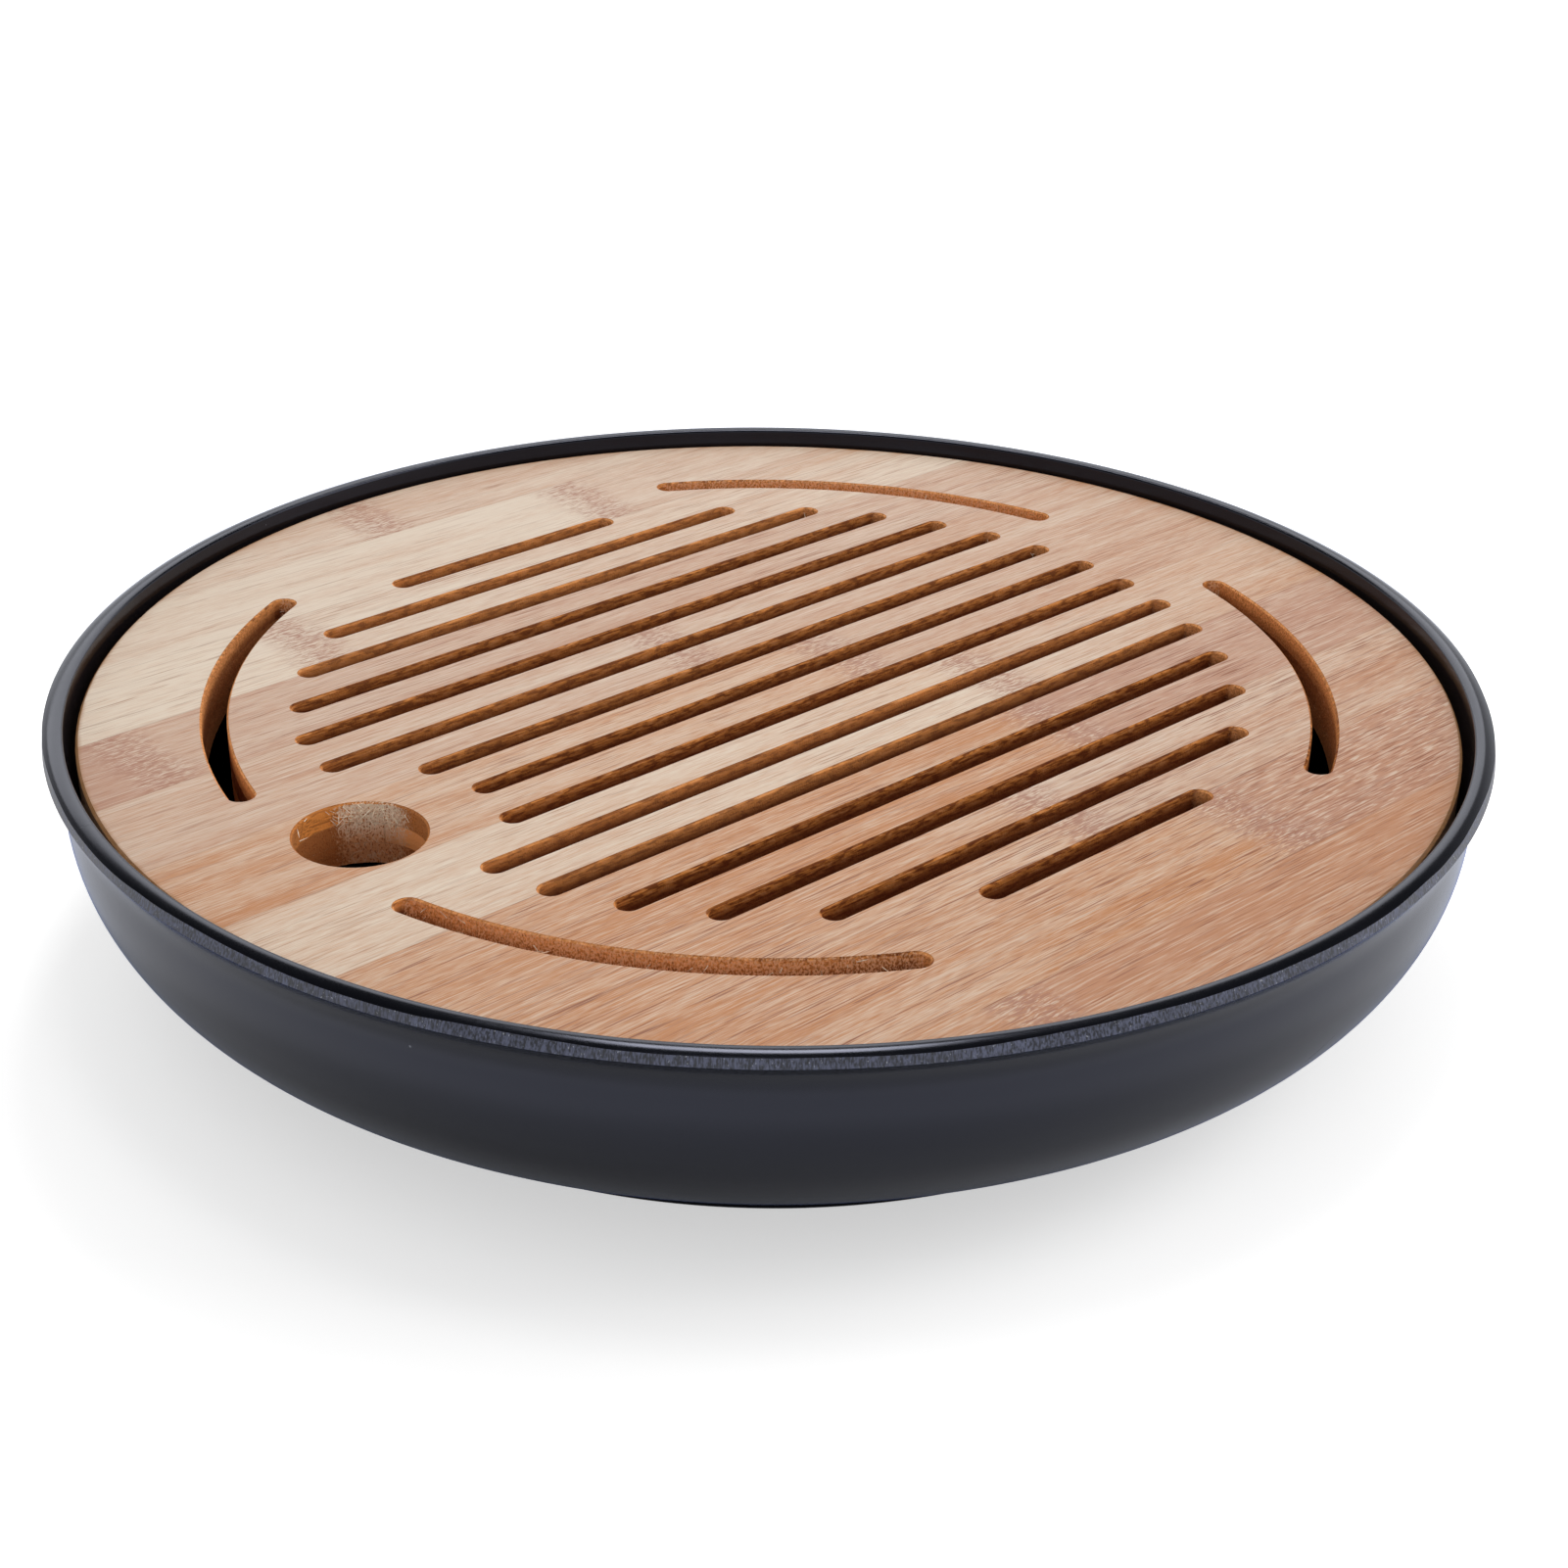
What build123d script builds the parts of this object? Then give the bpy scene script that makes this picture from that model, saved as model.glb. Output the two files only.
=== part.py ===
"""Round tea tray: a moulded basin with a lift-out slotted board of three-ply bamboo.

The origin is the centre of the foot ring's underside, +Z is up, and +X runs along the board's slots,
away from the finger hole. All sizes are in millimetres.
"""

import os
from math import acos, cos, degrees, radians, sin, sqrt, tan

from build123d import *

# Board
board_radius = 129.3
board_ease = 0.5
ply_thickness = 4.0

# Strips: the board is turned from a square panel, whose outer strips lose this trim beyond the board's edge
strips_each_side = 5
panel_trim = 3.25

# Arc slots: one in each quarter of the board, set in from its edge, with the ends as angles from the X axis
arc_slot_width = 4.6
arc_slot_margin = 22.5
arc_slot_first = 14
arc_slot_last = 61

# Straight slots: their round ends lie on one circle about the board's centre, inside the arc slots
slot_width = 4.2
slot_field_web = 11.8
mouth_ease = 0.35

# Finger hole: it takes up the middle strip but for a web at each side, and slots end short of it
hole_side_web = 0.55
hole_margin = 24.2
hole_web = 12.7

# Fit of the board in the basin, as radial gaps at the ledge and at the mouth
seat_gap = 0.5
mouth_gap = 1.9
seat_edge = 0.4
ledge_width = 2.7
ledge_draft = 0.3
reservoir_depth = 29.5

# Lip
lip_width = 3.8
lip_rise = 2.95
lip_crown = 0.4
lip_edge = 0.5
band_drop = 0.55
band_height = 1.3
band_undercut = 0.4

# Wall and floor: the belly is the wall's widest arc, and its centre lies a little above the ledge
wall_thickness = 2.5
floor_thickness = 3.0
belly_radius = 31.3
belly_rise = 2.7
neck_angle = 5.5
belly_angle = 50

# Foot ring: it stands this far in from the belly's widest circle
foot_inset = 31.5
foot_width = 3.6
foot_draft = 0.5
foot_recess = 5.0
foot_edge = 0.7
foot_root = 1.5

# Every cutting tool runs past the surface that it cuts by this much
overrun = 1.0

# Heights above the surface that the tray stands on
floor_height = foot_recess + floor_thickness
ledge_height = floor_height + reservoir_depth
core_height = ledge_height + ply_thickness
top_ply_height = core_height + ply_thickness
board_height = top_ply_height + ply_thickness
board_thickness = board_height - ledge_height

# Radii that follow from the board, and the belly's centre as its radius and height
seat_radius = board_radius + seat_gap
mouth_radius = board_radius + mouth_gap
tray_radius = mouth_radius + lip_width
ledge_radius = seat_radius - ledge_width
belly_reach = seat_radius + wall_thickness
foot_radius = belly_reach - foot_inset
inner_belly = belly_radius - wall_thickness
belly_centre = (belly_reach - belly_radius, ledge_height + belly_rise)

# Strips, and the openings in the board
strip_count = 2 * strips_each_side + 1
strip_width = 2 * (board_radius + panel_trim) / strip_count
arc_slot_radius = board_radius - arc_slot_margin - arc_slot_width / 2
slot_field_radius = arc_slot_radius - arc_slot_width / 2 - slot_field_web - slot_width / 2
hole_radius = strip_width / 2 - hole_side_web
hole_distance = board_radius - hole_margin - hole_radius
hole_clear_radius = hole_radius + hole_web + slot_width / 2

# Two slots go with each strip: one along its middle and one along each glue line
slot_pitch = strip_width / 2
slots_each_side = int(slot_field_radius // slot_pitch)


def slot_ends(across):
    """Returns the X of the two end centres of the slot that lies this far from the middle."""
    reach = sqrt(slot_field_radius**2 - across**2)
    if abs(across) < hole_clear_radius:
        past_hole = sqrt(hole_clear_radius**2 - across**2) - hole_distance
        return max(past_hole, -reach), reach
    return -reach, reach


def draw_openings(grown):
    """Draws the straight slots, the arc slots and the finger hole, each side grown outwards."""
    for step in range(-slots_each_side, slots_each_side + 1):
        across = step * slot_pitch
        left, right = slot_ends(across)
        with Locations(((left + right) / 2, across)):
            SlotCenterToCenter(right - left, slot_width + 2 * grown)
    for turn, side in ((0, 1), (180, -1), (180, 1), (360, -1)):
        first = turn + side * arc_slot_first
        last = turn + side * arc_slot_last
        middle_line = Edge.make_circle(arc_slot_radius, start_angle=min(first, last), end_angle=max(first, last))
        SlotArc(middle_line, arc_slot_width + 2 * grown)
    with Locations((-hole_distance, 0)):
        Circle(hole_radius + grown)


# Tool for every opening of the board: straight down, with an eased mouth at the top
mouth_reach = mouth_ease + overrun
with BuildPart() as openings:
    with BuildSketch(Plane.XY.offset(ledge_height - overrun)):
        draw_openings(0)
    extrude(amount=board_thickness + 2 * overrun)
    with BuildSketch(Plane.XY.offset(board_height + overrun)):
        draw_openings(mouth_reach)
    extrude(amount=-mouth_reach, taper=45)

# The glued and milled board, before it is parted into its strips
with BuildPart() as board:
    with BuildSketch(Plane.XY.offset(ledge_height)):
        Circle(board_radius)
    extrude(amount=board_thickness)
    chamfer(board.edges().filter_by(GeomType.CIRCLE), board_ease)
    add(openings.part, mode=Mode.SUBTRACT)


def make_strip(name, height, across, lengthways):
    """Writes one strip of a ply: its share of the board, lengthways along X or crossways along Y."""
    with BuildPart() as strip:
        add(board.part)
        with BuildSketch(Plane.XY.offset(height)):
            centre = (0, across) if lengthways else (across, 0)
            sides = (2 * board_radius + overrun, strip_width)
            with Locations(centre):
                Rectangle(*(sides if lengthways else reversed(sides)))
        extrude(amount=ply_thickness, mode=Mode.INTERSECT)
    strip.part.label = name
    export_step(strip.part, f"parts/{name}.step")


def soften(sketch, corner, radius):
    """Rounds the corner of a sketch that lies at the given point."""
    fillet(sketch.vertices().sort_by_distance(corner)[0], radius)


def on_belly(radius, angle):
    """Returns the point of an arc about the belly's centre, at an angle above the horizontal."""
    across, up = belly_centre
    return (across + radius * cos(radians(angle)), up + radius * sin(radians(angle)))


def down_belly(angle):
    """Returns the direction that runs down an arc about the belly's centre at this angle."""
    return (sin(radians(angle)), -cos(radians(angle)))


os.makedirs("parts", exist_ok=True)

# Basin: one turned section, from the foot ring up the outside, over the lip and down the inside
lip_height = board_height + lip_rise
band_top = (tray_radius, lip_height - band_drop)
band_foot = (tray_radius, band_top[1] - band_height)
lip_inner = (mouth_radius, lip_height)
lip_under = (tray_radius - band_undercut, band_foot[1] - band_undercut)
neck = on_belly(belly_radius, neck_angle)
seat_corner = (seat_radius, ledge_height)
ledge_corner = (ledge_radius, ledge_height)
shoulder_angle = degrees(acos((ledge_radius - ledge_draft - belly_centre[0]) / inner_belly))
foot_outer = (foot_radius, 0)
foot_top = (foot_radius + foot_draft, foot_recess + foot_root)
foot_inner = (foot_radius - foot_width, 0)
underside = (foot_radius - foot_width - foot_draft, foot_recess)
with BuildPart() as basin:
    with BuildSketch(Plane.XZ) as section:
        with BuildLine():
            Polyline((0, foot_recess), underside, foot_inner, foot_outer, foot_top)
            outer_low = on_belly(belly_radius, -belly_angle)
            TangentArc(outer_low, foot_top, tangent=down_belly(-belly_angle))
            CenterArc(belly_centre, belly_radius, -belly_angle, belly_angle + neck_angle)
            TangentArc(neck, lip_under, tangent=[-part for part in down_belly(neck_angle)])
            Polyline(lip_under, band_foot, band_top)
            SagittaArc(band_top, lip_inner, -lip_crown)
            inner_high = on_belly(inner_belly, -shoulder_angle)
            Polyline(lip_inner, seat_corner, ledge_corner, inner_high)
            CenterArc(belly_centre, inner_belly, -belly_angle, belly_angle - shoulder_angle)
            inner_low = on_belly(inner_belly, -belly_angle)
            floor_run = (inner_low[1] - floor_height) / tan(radians((90 - belly_angle) / 2))
            floor_corner = (inner_low[0] - floor_run, floor_height)
            TangentArc(inner_low, floor_corner, tangent=down_belly(-belly_angle))
            Polyline(floor_corner, (0, floor_height), (0, foot_recess))
        make_face()
        soften(section, lip_inner, lip_edge)
        soften(section, seat_corner, seat_edge)
        soften(section, ledge_corner, seat_edge)
        soften(section, foot_outer, foot_edge)
        soften(section, foot_inner, foot_edge)
        soften(section, foot_top, foot_root)
        soften(section, underside, foot_root)
    revolve(axis=Axis.Z)
basin.part.label = "basin"
export_step(basin.part, "parts/basin.step")

# Bamboo strips, numbered from -Y to +Y in the outer plies and from -X to +X in the core
for place in range(-strips_each_side, strips_each_side + 1):
    number = place + strips_each_side + 1
    make_strip(f"top_strip_{number:02d}", top_ply_height, place * strip_width, True)
    make_strip(f"core_strip_{number:02d}", core_height, place * strip_width, False)
    make_strip(f"base_strip_{number:02d}", ledge_height, place * strip_width, True)
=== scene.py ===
"""Round tea tray in a pale studio: a black moulded basin and its slotted bamboo board."""

from collections import namedtuple
from math import atan2, cos, pi, radians, sin, sqrt, tan

import bmesh
import bpy
from bpy.props import FloatProperty, FloatVectorProperty, IntProperty, PointerProperty
from mathutils import Matrix, Vector


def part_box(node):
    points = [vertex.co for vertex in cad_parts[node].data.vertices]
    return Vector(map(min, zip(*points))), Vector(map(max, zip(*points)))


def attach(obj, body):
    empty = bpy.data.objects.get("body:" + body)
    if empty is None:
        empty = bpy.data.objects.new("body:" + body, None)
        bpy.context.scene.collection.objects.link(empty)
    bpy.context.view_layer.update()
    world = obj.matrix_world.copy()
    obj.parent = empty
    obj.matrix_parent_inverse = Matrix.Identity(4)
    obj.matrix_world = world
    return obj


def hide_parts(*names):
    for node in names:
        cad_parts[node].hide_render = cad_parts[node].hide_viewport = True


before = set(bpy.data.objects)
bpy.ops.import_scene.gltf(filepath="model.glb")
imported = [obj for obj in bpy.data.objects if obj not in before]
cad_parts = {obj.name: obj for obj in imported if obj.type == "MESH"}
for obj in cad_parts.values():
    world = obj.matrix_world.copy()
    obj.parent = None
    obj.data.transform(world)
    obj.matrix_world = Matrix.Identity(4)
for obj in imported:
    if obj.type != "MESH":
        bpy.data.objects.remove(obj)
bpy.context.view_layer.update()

bl_info = {
    "name": "Tea Tray",
    "version": (1, 0, 0),
    "blender": (4, 5, 0),
    "location": "3D View > Sidebar > Tea Tray",
    "description": "Dresses a round tea tray: moulded basin, bamboo strips, loose fibres and studio",
    "category": "Object",
}

MM = 0.001
BASIN_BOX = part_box("basin")
TOP_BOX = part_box("top_strip_06")
CORE_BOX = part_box("core_strip_06")
BASE_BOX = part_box("base_strip_06")

# The board, in millimetres: its size comes from its middle strip, and its openings lie about here
STRIP_COUNT = 11
STRIP_WIDTH = (TOP_BOX[1].y - TOP_BOX[0].y) / MM
BOARD_RADIUS = TOP_BOX[1].x / MM
BOARD_TOP = TOP_BOX[1].z / MM
PLY = BOARD_TOP - TOP_BOX[0].z / MM
HOLE_DISTANCE = 93.6
HOLE_REACH = 13.5
ARC_SLOT_REACH = 98.0

# The basin: steps of its section, the share of its crown before the lip's inner edge, and the angle from
# which an edge is crisp
ARC_STEPS = 10
BELLY_STEPS = 22
CROWN_STEPS = 14
CROWN_SHARE = 0.86
CRISP_EDGE = radians(24)

# Points this near each other are one
DOUBLED = 0.001 * MM
AT_MIDDLE = 0.002 * MM
BY_ROUNDING = 1e-6

# How thickly loose fibres lie on the walls of the slots, and how much more thickly in the finger hole
FIBRES_IN_SLOTS = 0.15
MORE_IN_HOLE = 4.0

# The studio: half the floor's side, how far out the floor is lifted in reflections, and up to where the
# walls are white there
FLOOR_REACH = 4.0
# Nearer in than this, reflections show the floor unlifted: painted shade beneath the tray
LIFT_FROM = 0.125
LIFT_FULL = 0.200
WALLS_END = radians(9)
CEILING_START = radians(37)
SENSOR_WIDTH = 36.0
NEAREST_SEEN = 0.01
Lamp = namedtuple("Lamp", "name place size")
LAMPS = (
    Lamp("key", (0.42, 0.47, 0.95), (0.28, 0.33)),
    Lamp("back", (0.76, 1.03, 0.72), (1.6, 0.36)),
    Lamp("top", (-0.05, -0.05, 1.35), (0.25, 0.25)),
    Lamp("fill", (1.0, -0.85, 1.0), (0.9, 0.9)),
)

# How one strip looks: tone runs from pale to tan, pink from straw to rosy, both on either side of the
# growth node; node is where the node crosses it, in millimetres along the grain from the middle
StripLook = namedtuple("StripLook", "node tone pink tone_past pink_past streaks mottle")
TOP_LOOKS = (
    StripLook(-47, 0.84, 0.10, 1.0, 0.30, 0.70, 0.20),
    StripLook(26, 0.77, 0.02, 0.96, 0.56, 0.95, 0.90),
    StripLook(2, 0.82, 0.00, 0.62, 0.28, 0.90, 0.35),
    StripLook(27, 0.84, 0.00, 0.82, 0.62, 0.80, 0.25),
    StripLook(34, 0.28, 0.02, 0.45, 0.15, 0.45, 0.15),
    StripLook(18, 0.70, 0.03, 0.52, 0.28, 0.50, 0.15),
    StripLook(-4, 0.46, 0.27, 0.52, 0.28, 0.35, 0.15),
    StripLook(-108, 0.66, 0.62, 0.49, 0.38, 0.55, 0.20),
    StripLook(-58, 0.05, 0.05, 0.16, 0.15, 0.50, 0.15),
    StripLook(31, 0.06, 0.12, 0.28, 0.25, 0.35, 0.15),
    StripLook(-12, 0.12, 0.20, 0.28, 0.25, 0.40, 0.20),
)
HIDDEN_LOOK = StripLook(0, 0.70, 0.10, 0.70, 0.20, 0.80, 0.40)
CORE_LOOKS = [HIDDEN_LOOK._replace(node=-60 + 37 * (number % 4)) for number in range(STRIP_COUNT)]
BASE_LOOKS = [HIDDEN_LOOK._replace(node=-80 + 53 * (number % 5)) for number in range(STRIP_COUNT)]

# Seeds of the strips' grain: the middle strip's, the step to the next, and what a crossways strip adds
MIDDLE_SEED = 3.0
NEXT_SEED = 1.7
CROSS_SEED = 40
SEED_SHIFT = (17.3, 5.1, 9.7)


def length(name, description, millimetres):
    """A size property, given in millimetres and held in metres."""
    return FloatProperty(name=name, description=description, default=millimetres * MM, min=0.0, unit="LENGTH")


def angle(name, description, degrees):
    """An angle property, given in degrees."""
    return FloatProperty(name=name, description=description, default=radians(degrees), subtype="ANGLE")


def power(name, description, watts):
    """A lamp's power."""
    return FloatProperty(name=name, description=description, default=watts, min=0.0, unit="POWER")


def colour(name, description, value):
    """A colour property in linear light."""
    return FloatVectorProperty(
        name=name, description=description, default=value, size=3, subtype="COLOR", min=0.0, max=1.0)


def share(name, description, value):
    """A property that runs from none to all."""
    return FloatProperty(
        name=name, description=description, default=value, min=0.0, max=1.0, subtype="FACTOR")


class BasinSettings(bpy.types.PropertyGroup):
    """Sizes and colours of the moulded basin."""

    rim_radius: length("Rim radius", "Radius of the ground band at the rim", BASIN_BOX[1].x / MM)
    mouth_radius: length("Mouth radius", "Inner radius of the lip", 131.2)
    seat_radius: length("Seat radius", "Inner radius just above the ledge", 129.8)
    ledge_radius: length("Ledge radius", "Inner radius of the ledge", 127.1)
    lip_height: length("Lip height", "Height of the lip's inner edge", 52.45)
    band_top: length("Band top", "Height of the ground band's upper edge", 51.9)
    band_foot: length("Band foot", "Height of the ground band's lower edge", 50.6)
    band_undercut: length("Band undercut", "Cut back below the ground band", 0.03)
    lip_crown: length("Lip crown", "Rise of the lip's crown above its chord", 0.4)
    lip_edge: length("Lip edge", "Rounding of the lip's inner edge", 0.5)
    seat_edge: length("Seat edge", "Rounding at the seat and the ledge", 0.4)
    ledge_height: length("Ledge height", "Height of the ledge that carries the board", BASE_BOX[0].z / MM)
    ledge_draft: length("Ledge draft", "Lean of the face below the ledge", 0.3)
    floor_height: length("Floor height", "Height of the basin's floor", 8.0)
    wall: length("Wall", "Wall thickness", 2.5)
    belly_radius: length("Belly radius", "Radius of the wall's outer curve", 31.3)
    belly_rise: length("Belly rise", "Height of the curve's centre above the ledge", 2.7)
    belly_angle: angle("Belly angle", "How far down the wall's outer curve runs", 50)
    neck_angle: angle("Neck angle", "How far up the wall's outer curve runs", 5.5)
    foot_radius: length("Foot radius", "Outer radius of the foot ring", 100.8)
    foot_width: length("Foot width", "Width of the foot ring's flat", 3.6)
    foot_draft: length("Foot draft", "Lean of the foot ring's sides", 0.5)
    foot_recess: length("Foot recess", "Height of the underside above the table", 5.0)
    foot_edge: length("Foot edge", "Rounding of the foot ring's edges", 0.7)
    foot_root: length("Foot root", "Rounding where the foot ring meets the basin", 1.5)
    grind_depth: length("Grind depth", "How far the ground band eats into the lip where it is heaviest", 1.0)
    grind_length: length("Grind length", "Length of one waver of the band's upper edge", 30.0)
    grind_side: angle("Grind side", "Direction of the side that was ground most", 235)
    segments: IntProperty(name="Segments", description="Steps round the basin", default=720, min=64)
    melamine: colour("Melamine", "Colour of the moulded surface", (0.0026, 0.0028, 0.0042))
    sheen: colour("Sheen", "Tint of the moulded surface's reflections", (0.74, 0.775, 1.0))
    film: colour("Film", "Tint of the thin film over the moulded surface", (0.976, 0.982, 1.0))
    dust: colour("Dust", "Colour of the specks of dust", (0.30, 0.31, 0.34))
    ground: colour("Ground melamine", "Colour of the ground band", (0.054, 0.060, 0.094))
    flecks: colour("Ground flecks", "Colour of the bright flecks in the ground band", (0.42, 0.44, 0.50))
    gloss_roughness: share("Roughness", "Roughness of the moulded surface", 0.17)


class BambooSettings(bpy.types.PropertyGroup):
    """Sizes and colours of the bamboo."""

    pale: colour("Pale", "Palest bamboo", (0.71, 0.59, 0.46))
    tan: colour("Tan", "Darker bamboo", (0.50, 0.19, 0.048))
    pink: colour("Rosy", "Rosy tint", (0.42, 0.225, 0.165))
    # Dark fibres, and also the painted shade towards the foot of the finger hole
    streak: colour("Streak", "Dark fibres", (0.25, 0.070, 0.018))
    node: colour("Node", "Halo of a growth node", (0.36, 0.145, 0.080))
    cut: colour("Cut", "Colour of the milled walls along the grain", (0.86, 0.32, 0.07))
    gold: colour("Fresh cut", "Colour of the palest milled walls", (1.0, 0.45, 0.17))
    # Dark grain of the milled walls, and also the painted shade deep down in the openings
    burnt: colour("Burnt", "Colour of the walls' dark grain, and deep down", (0.105, 0.019, 0.006))
    fuzz: colour("Fuzz", "Colour of the walls milled against the grain", (1.0, 0.82, 0.64))
    # End grain, and also the painted shade deep down on the torn fuzz
    end: colour("End grain", "Colour of the walls milled across the grain", (0.72, 0.30, 0.10))
    # Edge: painted shade on the board's outer edge and on the top just inside it, next to the basin's lip
    edge: colour("Edge", "Tint of the board's outer edge", (0.36, 0.15, 0.035))
    glue: colour("Glue", "Glue lines", (0.20, 0.09, 0.035))
    line_width: length("Line width", "Spacing of the thin dark grain lines", 0.32)
    bundle_width: length("Bundle width", "Spacing of the fibre bundles", 0.95)
    band_width: length("Band width", "Width of the broad bands of tone", 5.5)
    node_reach: length("Node reach", "How far a node's halo reaches along the strip", 9.0)
    fibre_colour: colour("Fibre", "Colour of the loose fibres", (1.0, 0.90, 0.72))
    fibre_count: IntProperty(name="Fibres", description="Number of loose fibres", default=2600, min=1)
    fibre_length: length("Fibre length", "Length of a loose fibre", 2.4)
    fibre_width: length("Fibre width", "Thickness of a loose fibre", 0.20)


class StudioSettings(bpy.types.PropertyGroup):
    """Camera, floor and lamps."""

    focal_length: FloatProperty(
        name="Focal length", description="On a sensor 36 mm wide", default=60.57, unit="CAMERA")
    camera_place: FloatVectorProperty(
        name="Camera place", description="Where the camera stands", size=3, unit="LENGTH",
        default=(-305.82 * MM, -339.33 * MM, 265.2 * MM))
    camera_heading: angle("Heading", "Turn of the view from +Y", -42.384)
    camera_drop: angle("Drop", "Tilt of the view below the horizon", 27.507)
    camera_roll: angle("Roll", "Turn about the view", 0.819)
    floor: colour("Floor", "Colour of the floor", (0.90, 0.90, 0.90))
    floor_grit: colour("Floor grit", "Colour of the faint grit in the floor", (0.70, 0.70, 0.70))
    floor_lift: share("Floor lift", "White added to the floor where it is seen", 0.52)
    sky: FloatProperty(name="Sky", description="Strength of the light from all round", default=0.56, min=0.0)
    ceiling: share("Ceiling", "Brightness of the ceiling in reflections", 0.06)
    key_power: power("Key lamp", "Small lamp high behind", 3.0)
    back_power: power("Back lamp", "Long low lamp behind", 3.0)
    top_power: power("Top lamp", "Small lamp overhead", 1.0)
    fill_power: power("Fill lamp", "Broad lamp on the right", 7.5)


class Value:
    """What a node gives out. Sums on it add nodes to its tree."""

    def __init__(self, nodes, socket):
        self.nodes = nodes
        self.socket = socket

    def __add__(self, other):
        return self.nodes.calc("ADD", self, other)

    def __sub__(self, other):
        return self.nodes.calc("SUBTRACT", self, other)

    def __rsub__(self, other):
        return self.nodes.calc("SUBTRACT", other, self)

    def __mul__(self, other):
        return self.nodes.calc("MULTIPLY", self, other)

    def __lt__(self, other):
        return self.nodes.calc("LESS_THAN", self, other)

    def __gt__(self, other):
        return self.nodes.calc("GREATER_THAN", self, other)

    def __abs__(self):
        return self.nodes.calc("ABSOLUTE", self)

    def most(self, other):
        """The greater of two numbers."""
        return self.nodes.calc("MAXIMUM", self, other)

    def swing(self, reach):
        """Turns a number about 0.5 into one that swings this far each way about zero."""
        return self.nodes.calc("MULTIPLY_ADD", self, 2 * reach, -reach)

    def fade(self, start, end, low=0.0, high=1.0):
        """Runs smoothly from low to high as the number goes from start to end."""
        sockets = {"Value": self, "From Min": start, "From Max": end, "To Min": low, "To Max": high}
        return self.nodes.value("ShaderNodeMapRange", sockets, interpolation_type="SMOOTHSTEP")

    def parts(self):
        """X, Y and Z of a vector."""
        return tuple(self.nodes.values("ShaderNodeSeparateXYZ", {0: self}).values())

    def distance(self):
        """Length of a vector."""
        return self.nodes.value("ShaderNodeVectorMath", {0: self}, "Value", operation="LENGTH")


def solid(value):
    """A colour with its alpha; what a node gives out stays as it is."""
    return value if isinstance(value, Value) else (*value, 1.0)


class Nodes:
    """Adds nodes to one tree. Their sockets take numbers, vectors, colours and what other nodes give out."""

    def __init__(self, tree):
        self.tree = tree

    def feed(self, node, sockets):
        """Sets or links a node's sockets, by name or number."""
        for key, value in sockets.items():
            if isinstance(value, Value):
                self.tree.links.new(value.socket, node.inputs[key])
            else:
                node.inputs[key].default_value = value

    def add(self, kind, sockets=None, **settings):
        """A new node, with its settings and its sockets' values."""
        node = self.tree.nodes.new(kind)
        for name, value in settings.items():
            setattr(node, name, value)
        self.feed(node, sockets or {})
        return node

    def value(self, kind, sockets=None, output=0, **settings):
        """One thing that a new node gives out."""
        return Value(self, self.add(kind, sockets, **settings).outputs[output])

    def values(self, kind, sockets=None, **settings):
        """All that a new node gives out, by name."""
        return {socket.name: Value(self, socket) for socket in self.add(kind, sockets, **settings).outputs}

    def shape(self, kind, geometry, sockets=None, **settings):
        """What a geometry node, named without its prefix, makes of this geometry."""
        return self.value(f"GeometryNode{kind}", {"Geometry": geometry, **(sockets or {})}, **settings)

    def calc(self, operation, *values):
        """A sum on numbers."""
        return self.value("ShaderNodeMath", dict(enumerate(values)), operation=operation)

    def vector(self, operation, *values):
        """A sum on vectors."""
        return self.value("ShaderNodeVectorMath", dict(enumerate(values)), operation=operation)

    def join(self, *parts):
        """A vector from its X, Y and Z."""
        return self.value("ShaderNodeCombineXYZ", dict(enumerate(parts)))

    def between(self, amount, first, second):
        """A number part of the way from the first to the second."""
        return self.value("ShaderNodeMix", {0: amount, 2: first, 3: second})

    def layered(self, surface, *layers):
        """Lays colours over a surface, each given after its amount."""
        for amount, value in layers:
            sockets = {0: amount, 6: solid(surface), 7: solid(value)}
            surface = self.value("ShaderNodeMix", sockets, 2, data_type="RGBA")
        return surface

    def moved(self, place, sizes, shift):
        """A place measured in these sizes, and then moved."""
        return self.vector("ADD", self.vector("MULTIPLY", place, [1 / size for size in sizes]), shift)

    def noise(self, place, sizes, shift, detail=1.0):
        """Noise whose grains have these sizes along X, Y and Z, about 0.5."""
        return self.value("ShaderNodeTexNoise", {
            "Vector": self.moved(place, sizes, shift), "Scale": 1.0, "Detail": detail})

    def cells(self, place, sizes, shift):
        """Cells of these sizes: distance from the middle of each, and a random colour for each."""
        return self.values("ShaderNodeTexVoronoi", {"Vector": self.moved(place, sizes, shift), "Scale": 1.0})

    def bump(self, relief, depth):
        """Surface direction over a relief this deep, in millimetres."""
        return self.value("ShaderNodeBump", {"Height": relief, "Distance": depth * MM, "Strength": 1.0})

    def in_millimetres(self):
        """Place on the object, in millimetres."""
        place = self.value("ShaderNodeTexCoord", output="Object")
        return self.vector("MULTIPLY", place, (1 / MM, 1 / MM, 1 / MM))

    def surface(self, sockets):
        """The material's shader and its output."""
        self.add("ShaderNodeOutputMaterial", {"Surface": self.value("ShaderNodeBsdfPrincipled", sockets)})


def new_group(name, kind, inputs, outputs):
    """The nodes of a new group and what it is given; its sockets are listed by their kind."""
    tree = bpy.data.node_groups.new(name, kind)
    for way, sockets in (("INPUT", inputs), ("OUTPUT", outputs)):
        for socket, labels in sockets.items():
            for label in labels:
                tree.interface.new_socket(label, in_out=way, socket_type=f"NodeSocket{socket}")
    nodes = Nodes(tree)
    return nodes, nodes.values("NodeGroupInput")


def new_material(name):
    """An empty material and its nodes."""
    material = bpy.data.materials.new(name)
    material.use_nodes = True
    material.node_tree.nodes.clear()
    return material, Nodes(material.node_tree)


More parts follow.
